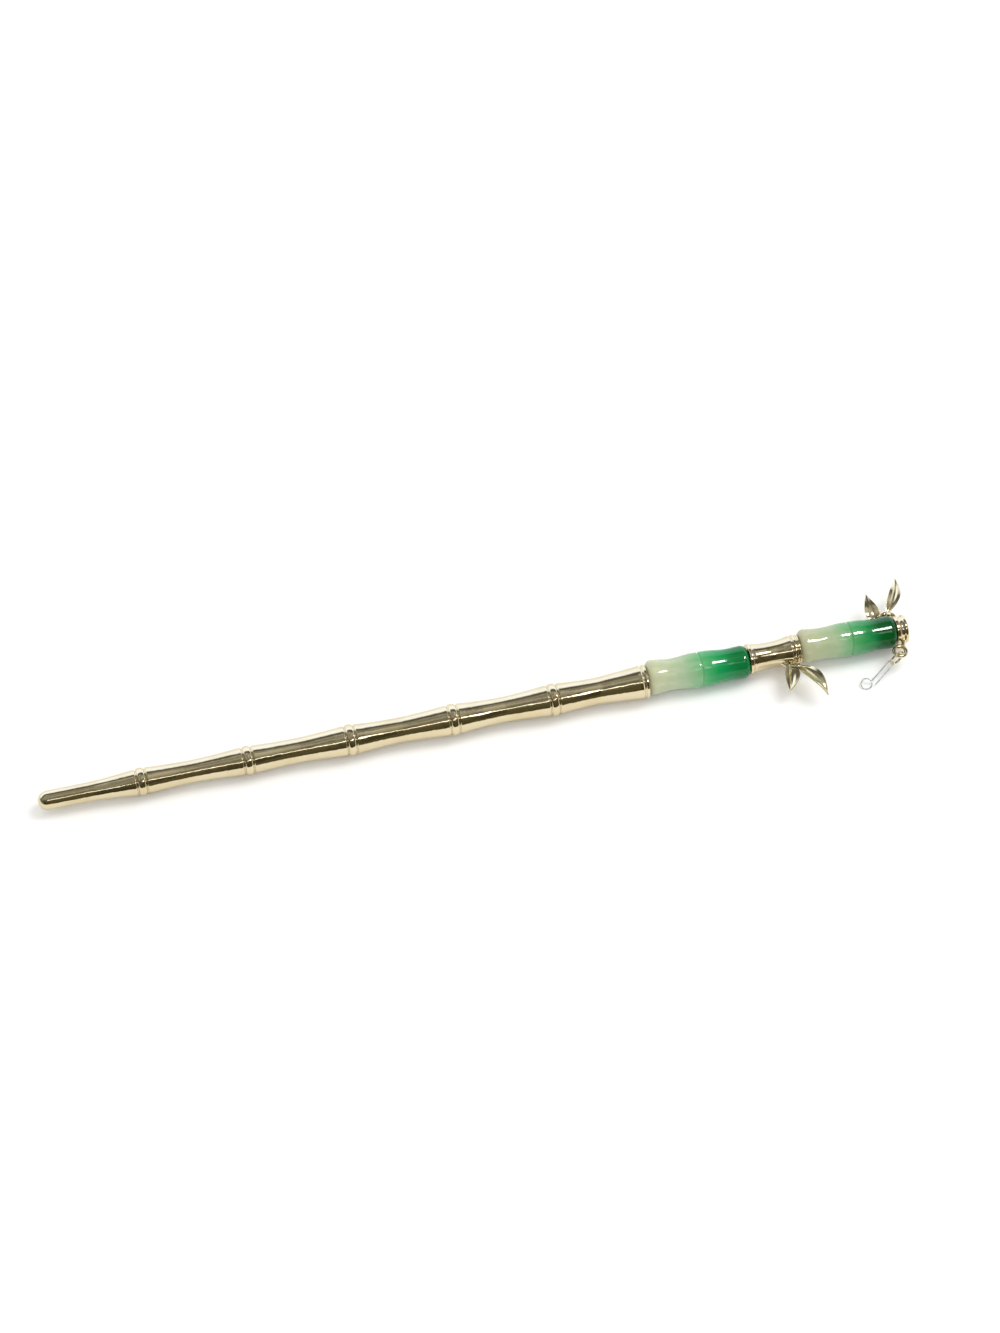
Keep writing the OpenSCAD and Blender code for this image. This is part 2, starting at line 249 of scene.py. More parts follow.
def band(shade, value, low, high):
    """0 below low, 1 above high, and a smooth step between."""
    return shade.node("MapRange", {"interpolation_type": "SMOOTHSTEP"},
                      {"Value": value, "From Min": low, "From Max": high})


def mixed(shade, factor, first, second):
    """One colour passing into another."""
    return shade.node("Mix", {"data_type": "RGBA"}, {0: factor, 6: first, 7: second}, output=2)


def plated_gold(name, tint, ripple):
    """Champagne plating: a mirror with the slight ripple of a polished casting, and faint handling marks."""
    material, shade, shader = new_finish(name)
    where = shade.node("TexCoord", output=3)
    worn = band(shade, cloud(shade, where, 7 * mm, 4.0), 0.42, 0.72)
    deep = tuple(part * shadow for part, shadow in zip(tint, (0.93, 0.9, 0.84)))
    colour = mixed(shade, worn, (*tint, 1), (*deep, 1))
    shade.tree.links.new(colour.socket, shader.inputs["Base Color"])
    marks = band(shade, cloud(shade, where, 0.5 * mm, 3.0, (0.12, 1, 1)), 0.55, 0.8)
    gloss = 0.045 + 0.05 * worn + 0.06 * marks
    shade.tree.links.new(gloss.socket, shader.inputs["Roughness"])
    casting = cloud(shade, where, 4.5 * mm, 1.0, (0.6, 1, 1))
    skin = cloud(shade, where, 1.1 * mm, 2.0, (0.7, 1, 1))
    height = casting * 1.0 + skin * 0.3
    bump = shade.node("Bump", inputs={"Strength": 1.0, "Distance": ripple, "Height": height})
    shade.tree.links.new(bump.socket, shader.inputs["Normal"])
    shader.inputs["Metallic"].default_value = 1.0
    return material


champagne = (0.71, 0.615, 0.41)
stem_gold = plated_gold("champagne_plating", champagne, 0.1 * mm)
stem.data.materials.append(stem_gold)
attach(stem, "root")
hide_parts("stem")

# Lower bead: a drilled length of polished stone, carved like a piece of bamboo with one node.
# It is pale and milky at its stem side and passes through cloudy green to a deep emerald.
seam = 0.14 * mm
bead_corner = 1.5 * mm
bead_hole_r = 1.4 * mm
bead_mid = 0.52
bead_flat = 0.6 * mm
bead_crest = 1.3 * mm
node_cut = 0.2 * mm
node_cut_half = 0.2 * mm
polished_off = 0.012 * mm
lower_bead_len = 21.4 * mm
lower_bead_at = stem_len + seam
# Radii at the stem-side end, waist, node, waist and head-side end.
lower_bead_radii = [3.62 * mm, 3.20 * mm, 3.58 * mm, 3.24 * mm, 3.42 * mm]
# Pieces on the pin sit a little out of line, towards the far side and up.
off_line = Vector((0, 0.82, 0.57))
lower_bead_off = (0.6 * mm, 0.02 * mm)


def threaded(at, length, off):
    """Place of a piece on the pin, with its two ends off the pin's line by these amounts."""
    turn = Matrix.Rotation(math.atan2(off[1] - off[0], length), 4, Vector((1, 0, 0)).cross(off_line))
    return laid @ Matrix.Translation(Vector((at, 0, 0)) + off_line * off[0]) @ turn


def bead_r(place, length, radii):
    """Radius of a bead: a soft wave on either side of its node, and a fine groove round the node."""
    mid = bead_mid * length
    if place < mid:
        start, end, (before, waist, after) = bead_flat, mid - bead_crest, radii[:3]
    else:
        start, end, (before, waist, after) = mid + bead_crest, length - bead_flat, radii[2:]
    turn = math.pi * min(max((place - start) / (end - start), 0), 1)
    crest = before + (after - before) * (1 - math.cos(turn)) / 2
    dip = ((before + after) / 2 - waist) * math.sin(turn) ** 2
    cut = node_cut * math.exp(-((place - mid) / node_cut_half) ** 2)
    from_end = min(place, length - place)
    corner = 0
    if from_end < bead_corner:
        corner = bead_corner - math.sqrt(bead_corner ** 2 - (bead_corner - from_end) ** 2)
    return crest - dip - cut - corner - polished_off


def bead(name, length, radii):
    """A bead turned about its drilled hole."""
    mid = bead_mid * length
    places = [bead_corner * (1 - math.cos(angle)) for angle in spread(0, math.pi / 2, 14)]
    near_node = 0.7 * mm
    places += spread(bead_corner, mid - near_node, 36)[1:]
    places += spread(mid - near_node, mid + near_node, 40)[1:]
    places += spread(mid + near_node, length - bead_corner, 36)[1:]
    places += [length - bead_corner * (1 - math.cos(angle)) for angle in spread(math.pi / 2, 0, 14)[1:]]
    outline = [(place, bead_r(place, length, radii)) for place in places]
    lip = 0.12 * mm
    hole = [(length, bead_hole_r + lip), (length - lip, bead_hole_r)]
    hole += [(place, bead_hole_r) for place in spread(length - lip, lip, 12)[1:-1]]
    hole += [(lip, bead_hole_r), (0, bead_hole_r + lip)]
    return turned(name, outline + hole, closed=True)


def polished_stone(name, node, stops, veins):
    """Translucent stone whose colour passes along the bead through cloudy steps, under a glassy polish."""
    material, shade, shader = new_finish(name)
    where = shade.node("TexCoord", output=3)
    low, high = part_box(node)
    along = (shade.node("SeparateXYZ", inputs={"Vector": where}) - low.x) / (high.x - low.x)
    drift = cloud(shade, where, 5 * mm, 3.0) - 0.5
    wisps = cloud(shade, where, 1.6 * mm, 4.0, (0.45, 1, 1)) - 0.5
    colour = shade.node("ValToRGB", {"stops": stops}, {"Fac": along + 0.1 * drift + 0.06 * wisps})
    milk = band(shade, cloud(shade, where, 2.4 * mm, 5.0, (0.6, 1, 1)), 0.45, 0.75)
    milky = mixed(shade, veins * milk * (1 - along) * (1 - along), colour, (0.75, 0.78, 0.6, 1))
    shade.tree.links.new(milky.socket, shader.inputs["Base Color"])
    smears = 0.06 + 0.05 * band(shade, cloud(shade, where, 3 * mm, 3.0), 0.4, 0.7)
    shade.tree.links.new(smears.socket, shader.inputs["Roughness"])
    lapped = cloud(shade, where, 3.2 * mm, 2.0, (0.7, 1, 1))
    bump = shade.node("Bump", inputs={"Strength": 1.0, "Distance": 0.02 * mm, "Height": lapped})
    shade.tree.links.new(bump.socket, shader.inputs["Normal"])
    shader.inputs["Specular IOR Level"].default_value = 0.32
    shader.inputs["Subsurface Weight"].default_value = 0.5
    shader.inputs["Subsurface Radius"].default_value = (1.0, 1.0, 0.7)
    shader.inputs["Subsurface Scale"].default_value = 0.9 * mm
    return material


lower_bead = bead("lower_bead_stone", lower_bead_len, lower_bead_radii)
settle(lower_bead, threaded(lower_bead_at, lower_bead_len, lower_bead_off))
lower_bead.data.materials.append(polished_stone("pale_to_emerald_stone", "lower_bead", [
    (0.0, (0.48, 0.48, 0.31)), (0.35, (0.36, 0.46, 0.3)), (0.47, (0.19, 0.4, 0.2)),
    (0.55, (0.07, 0.35, 0.13)), (0.68, (0.006, 0.27, 0.075)), (0.85, (0.002, 0.16, 0.038)),
    (1.0, (0.002, 0.13, 0.03)),
], 0.3))
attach(lower_bead, "root")
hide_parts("lower_bead")

# Middle link: a short waisted tube of the same casting metal between the beads, with a flange at its
# stem side and a thin collar at its head side. It is a loose fit on the pin.
link_len = 10.5 * mm
link_at = lower_bead_at + lower_bead_len + seam
link_off = (0.36 * mm, 0.36 * mm)
link_left_r = 3.0 * mm
link_waist_r = 2.65 * mm
link_right_r = 3.15 * mm
link_flange = softened([(place * mm, radius * mm) for place, radius in [
    (0.0, 1.1), (0.0, 2.4), (-0.25, 3.0), (-0.17, 3.13), (0.38, 3.13),
    (0.55, 2.85), (0.78, 2.85), (0.98, 2.98),
]], 0.08 * mm)
link_body = []
for share in spread(0, 1, 40)[1:]:
    straight = link_left_r + (link_right_r - link_left_r) * share
    dip = ((link_left_r + link_right_r) / 2 - link_waist_r) * 4 * share * (1 - share)
    link_body.append((0.95 * mm + (link_len - 2.75 * mm) * share, straight - dip))
link_collar = softened([(link_len - back * mm, radius * mm) for back, radius in [
    (1.75, 3.13), (1.58, 2.92), (1.4, 2.92), (1.2, 3.2), (0.78, 3.2),
    (0.62, 2.95), (0.46, 2.95), (0.32, 3.15), (0.1, 3.15), (0.0, 3.04), (0.0, 1.1),
]], 0.08 * mm)
link_outline = [tuple(point) for point in [*link_flange, *link_body, *link_collar]]
middle_link = turned("waisted_link", link_outline, closed=True)
link_place = threaded(link_at, link_len, link_off)
settle(middle_link, link_place)
link_gold = plated_gold("link_plating", champagne, 0.08 * mm)
middle_link.data.materials.append(link_gold)
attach(middle_link, "root")
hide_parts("middle_link")

# Link sprig: a bent twig, cast in one with the link, that ends in a bud and carries two folded leaves
# on the near side. The blades are thin, creased along the midrib and turned up at their edges.
# It is modelled with one unit to the millimetre, and shrunk as it is placed.
twig_r = 0.45
bud_r = 0.72
leaf_thick = 0.42
leaf_edge_share = 0.5
leaf_fold = 0.42
leaf_min_half = 0.07
leaf_root_half = 0.4
leaf_stations = 30
# Root and tip from the end of the link, width, fullness, arch, sway, roll, twist and curl of each leaf.
# Fullness below 1 brings the widest place nearer to the root, twist adds to the roll towards the tip,
# and curl lifts the tip.
link_leaves = [
    ((-2.3, -2.8, -0.1), (-4.55, -9.75, 0.3), 2.9, 0.8, -0.4, -0.3, 16, -16, 0),
    ((-0.9, -4.4, 0.1), (2.8, -12.0, 0.8), 3.3, 0.8, 0.3, -0.3, 14, 6, -1.2),
]


def selected_middle(piece):
    """Middle of what is selected on a piece in edit mode."""
    piece.update_from_editmode()
    picked = [vertex.co for vertex in piece.data.vertices if vertex.select]
    return sum(picked, Vector()) / len(picked)


def wire(name, radius, moves, sides=24):
    """Round wire drawn from the origin along X, by (length, end radius) runs and (radius, degrees) bends."""
    bpy.ops.object.select_all(action="DESELECT")
    bpy.ops.mesh.primitive_circle_add(vertices=sides, radius=radius, rotation=(0, math.pi / 2, 0))
    piece = bpy.context.object
    piece.name = piece.data.name = name
    bpy.ops.object.transform_apply(rotation=True)
    bpy.ops.object.mode_set(mode="EDIT")
    bpy.ops.mesh.select_mode(type="EDGE")
    bpy.ops.mesh.select_all(action="SELECT")
    heading, thick = 0.0, radius
    for kind, size, change in moves:
        ahead = Vector((math.cos(heading), math.sin(heading), 0))
        middle = selected_middle(piece)
        if kind == "run":
            bpy.ops.mesh.extrude_region_move(TRANSFORM_OT_translate={"value": ahead * size})
            grow = change / thick
            bpy.ops.transform.resize(value=(grow, grow, grow), center_override=middle + ahead * size)
            thick = change
        else:
            turn = math.radians(change)
            centre = middle + Vector((-ahead.y, ahead.x, 0)) * math.copysign(size, turn)
            steps = max(3, round(abs(change) / 5))
            bpy.ops.mesh.spin(steps=steps, angle=-turn, center=centre, axis=(0, 0, 1))
            heading += turn
    bpy.ops.mesh.select_all(action="SELECT")
    bpy.ops.mesh.fill_holes(sides=0)
    bpy.ops.mesh.normals_make_consistent(inside=False)
    bpy.ops.object.mode_set(mode="OBJECT")
    return piece


def finished_with(piece, kind, **settings):
    """Adds a modifier and applies it."""
    bpy.ops.object.select_all(action="DESELECT")
    piece.select_set(True)
    bpy.context.view_layer.objects.active = piece
    modifier = piece.modifiers.new(kind.lower(), kind)
    for name, value in settings.items():
        setattr(modifier, name, value)
    bpy.ops.object.modifier_apply(modifier=modifier.name)


def twig(name, socket, elbow, fork):
    """Bent twig from its socket on the casting, round an elbow, to the fork that carries the leaves."""
    first, second = Vector(elbow) - Vector(socket), Vector(fork) - Vector(elbow)
    start = math.atan2(first.y, first.x)
    turn = (math.degrees(math.atan2(second.y, second.x) - start) + 180) % 360 - 180
    bend_r = 0.8
    cut = bend_r * math.tan(math.radians(abs(turn)) / 2)
    stalk = wire(name, twig_r * 1.4, [
        ("run", (first.length - cut) / 2, twig_r * 1.15), ("run", (first.length - cut) / 2, twig_r),
        ("bend", bend_r, turn), ("run", second.length - cut, twig_r * 0.95),
    ])
    stalk.matrix_world = Matrix.Translation(socket) @ Matrix.Rotation(start, 4, "Z")
    return stalk


def leaf_half(share, width, fullness):
    """Half width of a leaf: a narrow stalk, a full middle and a long point."""
    full = width / 2 * math.sin(math.pi * share ** fullness) ** 0.9 if 0 < share < 1 else 0
    return max(leaf_min_half, full + leaf_root_half * (1 - share) ** 3)


def leaf(name, row):
    """A folded blade, extruded station by station along its midrib and given its thickness."""
    root, tip, width, fullness, arch, sway, roll, twist, curl = row
    chord = Vector(tip) - Vector(root)
    along = chord.normalized()
    left = Vector((0, 0, 1)).cross(along).normalized()
    upwards = along.cross(left)
    across = [-1, -0.84, -0.67, -0.51, -0.48, -0.32, -0.16, -0.07, 0,
              0.07, 0.16, 0.32, 0.48, 0.51, 0.67, 0.84, 1]
    section = []
    for y in across:
        fold = 1.3 * abs(y) if abs(y) < 0.5 else 0.3 + 0.7 * abs(y)
        flat = Vector((0, y, leaf_fold * fold + 0.1 * math.exp(-(y / 0.08) ** 2)))
        section.append(Matrix.Rotation(math.radians(-roll), 3, "X") @ flat)
    midrib = []
    for t in spread(0, 1, leaf_stations):
        rise = arch * 4 * t * (1 - t) + curl * t ** 4
        midrib.append(Vector((chord.length * t + rise * along.z, -sway * 4 * t * (1 - t), rise * upwards.z)))
    bpy.ops.object.select_all(action="DESELECT")
    bpy.ops.mesh.primitive_plane_add(size=1)
    blade = bpy.context.object
    blade.name = blade.data.name = name
    bpy.ops.object.mode_set(mode="EDIT")
    bpy.ops.mesh.select_mode(type="VERT")
    bpy.ops.mesh.select_all(action="SELECT")
    bpy.ops.mesh.merge(type="CENTER")
    half = leaf_half(0, width, fullness)
    bpy.ops.transform.translate(value=section[0] * half)
    for point, following in zip(section, section[1:]):
        bpy.ops.mesh.extrude_region_move(TRANSFORM_OT_translate={"value": (following - point) * half})
    bpy.ops.mesh.select_mode(type="EDGE")
    bpy.ops.mesh.select_all(action="SELECT")
    for station, (here, there) in enumerate(zip(midrib, midrib[1:]), start=1):
        next_half = leaf_half(station / leaf_stations, width, fullness)
        grow = next_half / half
        bpy.ops.mesh.extrude_region_move(TRANSFORM_OT_translate={"value": there - here})
        bpy.ops.transform.resize(value=(grow, grow, grow), center_override=there)
        bpy.ops.transform.rotate(value=math.radians(twist) / leaf_stations, orient_axis="X",
                                 center_override=there)
        half = next_half
    bpy.ops.mesh.select_all(action="SELECT")
    bpy.ops.mesh.normals_make_consistent(inside=False)
    bpy.ops.object.mode_set(mode="OBJECT")
    rib = blade.vertex_groups.new(name="midrib")
    for vertex in blade.data.vertices:
        share = min(max(vertex.co.x / chord.length, 0), 1)
        off_rib = abs(vertex.co.y + sway * 4 * share * (1 - share)) / leaf_half(share, width, fullness)
        rib.add([vertex.index], max(0, 1 - off_rib), "REPLACE")
    finished_with(blade, "SOLIDIFY", thickness=leaf_thick, offset=0, vertex_group="midrib",
                  thickness_vertex_group=leaf_edge_share, use_even_offset=False)
    axes = Matrix((along, left, upwards)).transposed().to_4x4()
    blade.matrix_world = Matrix.Translation(root) @ axes
    return blade


def stalk(name, fork, root):
    """Short straight stalk from the fork to the root of a leaf."""
    run = Vector(root) - Vector(fork)
    piece = wire(name, twig_r, [("run", run.length, leaf_root_half)], sides=16)
    piece.matrix_world = Matrix.Translation(fork) @ run.to_track_quat("X", "Z").to_matrix().to_4x4()
    return piece


def bud(name, fork):
    """The swelling at the fork, a little longer than it is thick."""
    bpy.ops.object.select_all(action="DESELECT")
    bpy.ops.mesh.primitive_uv_sphere_add(segments=24, ring_count=16, radius=bud_r, location=fork)
    swelling = bpy.context.object
    swelling.name = swelling.data.name = name
    swelling.scale = (1.1, 0.95, 0.9)
    return swelling


def fused(name, parts, grain=0.045, rounds=2):
    """Casts overlapping parts into one skin, with a small fillet where they meet."""
    bpy.ops.object.select_all(action="DESELECT")
    for part in parts:
        part.select_set(True)
    bpy.context.view_layer.objects.active = parts[0]
    bpy.ops.object.transform_apply(location=True, rotation=True, scale=True)
    bpy.ops.object.join()
    casting = bpy.context.object
    casting.name = casting.data.name = name
    finished_with(casting, "REMESH", mode="VOXEL", voxel_size=grain, use_smooth_shade=True)
    finished_with(casting, "SMOOTH", factor=0.5, iterations=rounds)
    return casting


def sprig(name, socket, elbow, fork, rows):
    """Twig, bud, stalks and leaves, cast in one."""
    parts = [twig(f"{name}_twig", socket, elbow, fork), bud(f"{name}_bud", fork)]
    for count, row in enumerate(rows):
        parts += [stalk(f"{name}_stalk_{count}", fork, row[0]), leaf(f"{name}_leaf_{count}", row)]
    return fused(name, parts)


link_sprig = sprig("link_sprig", (-4.4, -1.9, 0), (-3.2, -3.5, 0), (-1.2, -4.1, 0), link_leaves)
link_end = link_place @ Matrix.Translation((link_len, 0, 0)) @ Matrix.Scale(mm, 4)
settle(link_sprig, link_end, smooth_below=60)
sprig_gold = plated_gold("sprig_plating", (0.78, 0.69, 0.46), 0.02 * mm)
link_sprig.data.materials.append(sprig_gold)
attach(link_sprig, "root")
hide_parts("middle_link")

# Upper bead: a second length of the same stone, a little thinner, that passes from pale to dark green.
upper_bead_len = 20.5 * mm
upper_bead_at = link_at + link_len + seam
upper_bead_radii = [3.52 * mm, 3.20 * mm, 3.50 * mm, 3.20 * mm, 3.40 * mm]
upper_bead_off = (0.8 * mm, 0.2 * mm)
upper_bead = bead("upper_bead_stone", upper_bead_len, upper_bead_radii)
settle(upper_bead, threaded(upper_bead_at, upper_bead_len, upper_bead_off))
upper_bead.data.materials.append(polished_stone("pale_to_dark_green_stone", "upper_bead", [
    (0.0, (0.43, 0.42, 0.27)), (0.33, (0.33, 0.42, 0.25)), (0.46, (0.16, 0.36, 0.17)),
    (0.57, (0.06, 0.3, 0.1)), (0.72, (0.006, 0.19, 0.05)), (0.82, (0.001, 0.09, 0.015)),
    (1.0, (0.002, 0.055, 0.008)),
], 0.3))
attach(upper_bead, "root")
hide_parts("upper_bead")

# End cap: a low cast cap over the end of the pin, with a thin flange against the bead, a shallow waist
# and a rounded outer face.
cap_at = upper_bead_at + upper_bead_len + seam
cap_outline = [tuple(point) for point in softened([(place * mm, radius * mm) for place, radius in [
    (1.4, 0.0), (1.4, 0.8), (0.0, 0.8), (0.0, 2.35), (-0.3, 2.85), (-0.22, 2.95), (0.36, 2.95),
    (0.56, 2.72), (0.9, 2.64), (1.25, 2.7), (1.5, 2.92), (1.8, 2.95), (2.05, 2.84),
    (2.15, 2.5), (2.2, 1.6), (2.2, 0.0),
]], 0.12 * mm)]
cap_off = 0.28 * mm
cap_start = laid @ Matrix.Translation(Vector((cap_at, 0, 0)) + off_line * cap_off)
end_cap = turned("end_cap_body", cap_outline)
settle(end_cap, cap_start)
end_cap.data.materials.append(link_gold)
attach(end_cap, "root")
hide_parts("end_cap")

# Cap sprig: the second pair of leaves, cast in one with the cap on its far side.
cap_leaves = [
    ((-3.1, 3.9, -0.9), (-3.2, 10.2, -0.9), 2.6, 0.5, 1.0, -0.2, 8, 0, 1.1),
    ((-0.6, 4.4, 0.0), (3.8, 12.5, -1.1), 2.4, 1.05, 0.9, 0.7, -8, 0, 1.3),
]
cap_sprig = sprig("cap_sprig", (1.2, 2.2, 0), (0.7, 4.0, 0), (-1.0, 4.45, 0), cap_leaves)
settle(cap_sprig, cap_start @ Matrix.Scale(mm, 4), smooth_below=60)
cap_sprig.data.materials.append(sprig_gold)
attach(cap_sprig, "root")
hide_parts("end_cap")

# Cap loop: a ring of thick wire on a short neck, cast in one with the cap on its near side.
loop_middle = Vector((-0.6, -5.25, 0))
loop_r = 1.2
loop_wire_r = 0.45
neck_turn = math.radians(46)
neck_end = loop_middle + loop_r * Vector((math.cos(neck_turn), math.sin(neck_turn), 0))
neck_start = Vector((1.15, -2.3, 0))
neck = wire("loop_neck", 0.5, [("run", (neck_end - neck_start).length, 0.4)])
neck_run = neck_end - neck_start
neck.matrix_world = Matrix.Translation(neck_start) @ Matrix.Rotation(
    math.atan2(neck_run.y, neck_run.x), 4, "Z")
ring = wire("loop_ring", loop_wire_r, [("bend", loop_r, 359)])
ring.matrix_world = Matrix.Translation(loop_middle - Vector((0, loop_r, 0)))
cap_loop = fused("cap_loop", [ring, neck], 0.04, 5)
settle(cap_loop, cap_start @ Matrix.Scale(mm, 4), smooth_below=60)
cap_loop.data.materials.append(sprig_gold)
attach(cap_loop, "root")
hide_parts("end_cap")

# Jump ring: thin gold wire bent round into a ring through the cap's loop, its two cut ends just meeting.
jump_r = 1.6
jump_wire_r = 0.22
jump_slit = 3.0
jump_slit_at = 200
jump_turn = 115
jump_from_loop = Vector((-0.9, -0.9, -0.84))
jump_middle = cap_start @ (loop_middle * mm) + jump_from_loop * mm
jump_ring = wire("jump_ring_wire", jump_wire_r, [("bend", jump_r, 360 - jump_slit)], sides=16)
stand = Matrix.Rotation(math.radians(jump_turn), 4, "Z") @ Matrix.Rotation(math.radians(90), 4, "Y")
settle(jump_ring, Matrix.Translation(jump_middle) @ stand @ Matrix.Scale(mm, 4)
       @ Matrix.Rotation(math.radians(jump_slit_at), 4, "Z") @ Matrix.Translation((0, -jump_r, 0)))
jump_ring.data.materials.append(link_gold)
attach(jump_ring, "root")
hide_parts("jump_ring")

# Tassel hook: one length of fine silver wire, bent back round the jump ring, with an open ring at the
# end of its long leg for a tassel. It lies where it fell, its end ring on the surface.
hook_wire_r = 0.17
hook_eye_r = 0.53
hook_tail = 5.4
hook_reach = 6.56
hook_ring_r = 1.1
hook_ring_side = 0.36
hook_ring_gap = 30
hook_corner_r = 0.2
hook_on_ring = math.radians(-15)
hook_heading, hook_slope, hook_roll = 211, 19.47, -15
normal = stand @ Vector((0, 0, 1))
level = Vector((0, 0, 1)).cross(normal).normalized()
upright = normal.cross(level)
hook_at = jump_middle + jump_r * mm * (math.cos(hook_on_ring) * level + math.sin(hook_on_ring) * upright)
corner_turn = math.acos((hook_corner_r - hook_ring_side) / (hook_corner_r + hook_ring_r))
hook_leg = hook_reach - (hook_corner_r + hook_ring_r) * math.sin(corner_turn)
hook = wire("tassel_hook_wire", hook_wire_r, [
    ("run", hook_tail, hook_wire_r), ("bend", hook_eye_r, 180), ("run", hook_leg, hook_wire_r),
    ("bend", hook_corner_r, -math.degrees(corner_turn)), ("bend", hook_ring_r, 360 - hook_ring_gap),
], sides=16)
settle(hook, Matrix.Translation(hook_at) @ Matrix.Rotation(math.radians(hook_heading), 4, "Z")
       @ Matrix.Rotation(math.radians(hook_slope), 4, "Y") @ Matrix.Rotation(math.radians(hook_roll), 4, "X")
       @ Matrix.Scale(mm, 4) @ Matrix.Translation((hook_tail, hook_eye_r, 0))
       @ Matrix.Rotation(math.pi, 4, "Z"))


def drawn_wire(name, tint, gloss):
    """Bright drawn wire: fine lines from the drawing die and a little dullness where it was gripped."""
    material, shade, shader = new_finish(name)
    where = shade.node("TexCoord", output=3)
    dull = band(shade, cloud(shade, where, 1.5 * mm, 3.0), 0.45, 0.7)
    colour = mixed(shade, dull, (*tint, 1), (*(part * 0.86 for part in tint), 1))
    shade.tree.links.new(colour.socket, shader.inputs["Base Color"])
    shade.tree.links.new((gloss + 0.12 * dull).socket, shader.inputs["Roughness"])
    lines = cloud(shade, where, 0.25 * mm, 2.0)
    bump = shade.node("Bump", inputs={"Strength": 1.0, "Distance": 0.004 * mm, "Height": lines})
    shade.tree.links.new(bump.socket, shader.inputs["Normal"])
    shader.inputs["Metallic"].default_value = 1.0
    return material


hook.data.materials.append(drawn_wire("silver_wire", (0.9, 0.89, 0.87), 0.32))
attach(hook, "root")
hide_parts("tassel_hook")

# Core pin: plain drawn steel, hidden in the stack but for the slits between the pieces that it carries.
core_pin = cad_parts["core_pin"]
core_pin.data.materials[0] = drawn_wire("pin_steel", (0.5, 0.5, 0.5), 0.3)

# Surface: a plain white table, wide enough for every view.
bpy.ops.object.select_all(action="DESELECT")
bpy.ops.mesh.primitive_plane_add(size=6)
table = bpy.context.object
table.name = table.data.name = "white_table"
matt_white, shade, shader = new_finish("matt_white")
shader.inputs["Base Color"].default_value = (0.9, 0.9, 0.9, 1)
shader.inputs["Roughness"].default_value = 0.9
shader.inputs["Specular IOR Level"].default_value = 0.1
table.data.materials.append(matt_white)

# Room: what the polished pieces mirror is a bright cool sweep behind the table, a grey ceiling and a dark
# warm room in front, with uneven patches. Matt surfaces get an even light instead, as from a white tent.
# Each stop is an angle from straight up, in degrees towards the front, and the light from there.
room_stops = [
    (-180, (0.5, 0.5, 0.5)), (-95, (0.5, 0.5, 0.5)), (-88, (0.64, 0.72, 0.88)), (-56, (0.7, 0.77, 0.96)),
    (-50, (0.6, 0.65, 0.78)), (-43, (0.07, 0.07, 0.065)), (-32, (0.07, 0.07, 0.065)),
    (-22, (0.21, 0.21, 0.19)), (-8, (0.22, 0.22, 0.2)), (14, (0.17, 0.17, 0.155)),
    (26, (0.115, 0.115, 0.1)), (36, (0.075, 0.073, 0.058)), (50, (0.045, 0.041, 0.025)),
    (86, (0.036, 0.031, 0.012)), (95, (0.5, 0.5, 0.5)), (180, (0.5, 0.5, 0.5)),
]
room_strength = 2.0
left_light, right_light = 0.1, 0.5
tent_light = 0.5
world = bpy.data.worlds.new("studio_room")
world.use_nodes = True
bpy.context.scene.world = world
room = Shade(world.node_tree)
background = next(node for node in world.node_tree.nodes if node.type == "BACKGROUND")
way = room.node("TexCoord", output=0)
across = room.node("SeparateXYZ", inputs={"Vector": way}, output=0)
back = room.node("SeparateXYZ", inputs={"Vector": way}, output=1)
above = room.node("SeparateXYZ", inputs={"Vector": way}, output=2)
from_zenith = room.maths("ARCTAN2", 0 - back, above) / math.tau + 0.5
seen = room.node("ValToRGB", {"stops": [(angle / 360 + 0.5, shine) for angle, shine in room_stops]},
                 {"Fac": from_zenith})
to_right = band(room, across, 0.75, 0.97)
to_left = band(room, 0 - across, 0.75, 0.97)
things = 0.6 + 0.9 * band(room, cloud(room, way, 0.2, 2.0, (1, 0.5, 0.5)), 0.35, 0.7)
below_sweep = band(room, from_zenith, 0.38, 0.42)
seen = room.node("Mix", {"data_type": "RGBA", "blend_type": "MULTIPLY"},
                 {0: below_sweep, 6: seen, 7: things}, output=2)
mirrored = mixed(room, to_right, seen, (right_light, right_light, right_light, 1))
mirrored = mixed(room, to_left, mirrored, (left_light, left_light, left_light, 1))
is_gloss = room.node("LightPath", output=3)
from_matt = band(room, room.node("LightPath", output="Diffuse Depth"), 0.2, 0.8)
shown = mixed(room, is_gloss * (1 - from_matt), (tent_light, tent_light, tent_light * 0.985, 1), mirrored)
world.node_tree.links.new(shown.socket, background.inputs["Color"])
background.inputs["Strength"].default_value = room_strength


def softbox(name, place, aim, width, height, radiance, mirrored=False):
    """A rectangular lamp that shines from its place towards a point. One kind lights matt surfaces, and the
    other is only seen mirrored in polished ones."""
    bpy.ops.object.light_add(type="AREA", location=place)
    lamp = bpy.context.object
    lamp.name = lamp.data.name = name
    lamp.data.shape = "RECTANGLE"
    lamp.data.size, lamp.data.size_y = width, height
    lamp.data.energy = radiance * width * height * math.pi
    lamp.rotation_euler = (Vector(aim) - Vector(place)).to_track_quat("-Z", "Y").to_euler()
    lamp.visible_camera = False
    lamp.visible_glossy = mirrored
    lamp.visible_diffuse = not mirrored
    lamp.visible_transmission = not mirrored
    return lamp


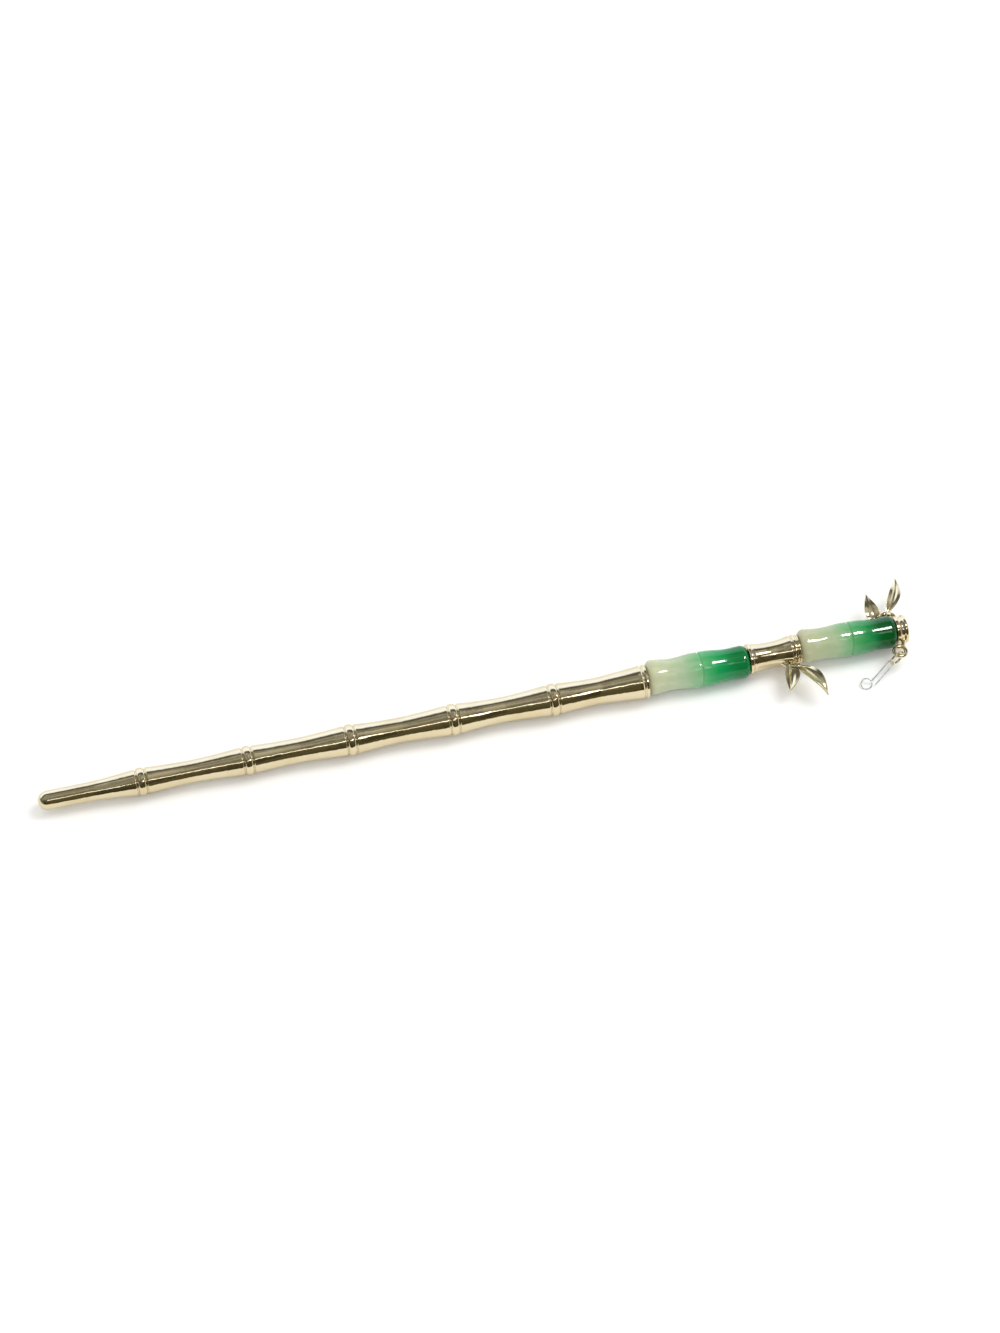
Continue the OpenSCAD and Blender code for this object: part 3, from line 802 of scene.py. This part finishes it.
# Lamps: a large soft key from the right and a little behind, that draws the shadows. What is polished
# mirrors a smaller lamp in its place. The stones also mirror a small hot lamp close above the head end,
# and the metal a dim twin of that lamp and, in front, a long bar and a short one.
key_place, near_place, near_aim = (0.50, 0.12, 0.76), (0.111, -0.011, 0.12), (0.111, -0.011, 0)
softbox("key_softbox", key_place, (0, 0, 0), 0.36, 0.5, 6)
softbox("key_glint", key_place, (0, 0, 0), 0.3, 0.3, 5, mirrored=True)
stone_glint = softbox("stone_glint", near_place, near_aim, 0.038, 0.026, 65, mirrored=True)
stones = bpy.data.collections.new("stones")
for bead_piece in (lower_bead, upper_bead):
    stones.objects.link(bead_piece)
stone_glint.light_linking.receiver_collection = stones
softbox("metal_bar", (0.1, -0.405, 0.6), (0, 0, 0), 0.6, 0.05, 2.5, mirrored=True)
softbox("metal_glint", near_place, near_aim, 0.042, 0.026, 6, mirrored=True)
softbox("metal_spark", (0.19, -0.385, 0.6), (0, 0, 0), 0.09, 0.15, 3, mirrored=True)

# Camera: a long lens that looks down on the stick at 55 degrees, a little from the left, and is rolled
# by the tilt that the stick has in the picture.
frame_height = 1333
focal_px = 3548.4
sensor = 36.0
camera_distance = 0.72
camera_azimuth = math.radians(-15.5)
camera_elevation = math.radians(55)
camera_roll = math.radians(1.828)
camera_target = Vector((0.005824, 0.010058, 0.003183))
backwards = Vector((
    math.sin(camera_azimuth) * math.cos(camera_elevation),
    -math.cos(camera_azimuth) * math.cos(camera_elevation),
    math.sin(camera_elevation),
))
level_right = Vector((math.cos(camera_azimuth), math.sin(camera_azimuth), 0))
level_up = backwards.cross(level_right)
picture_right = math.cos(camera_roll) * level_right + math.sin(camera_roll) * level_up
picture_up = backwards.cross(picture_right)
bpy.ops.object.camera_add()
camera = bpy.context.object
camera.name = camera.data.name = "product_camera"
camera.matrix_world = Matrix.Translation(camera_target + camera_distance * backwards) @ Matrix(
    (picture_right, picture_up, backwards)).transposed().to_4x4()
camera.data.sensor_width = sensor
camera.data.lens = focal_px * sensor / frame_height
bpy.context.scene.camera = camera
bpy.context.scene.view_settings.view_transform = "Standard"
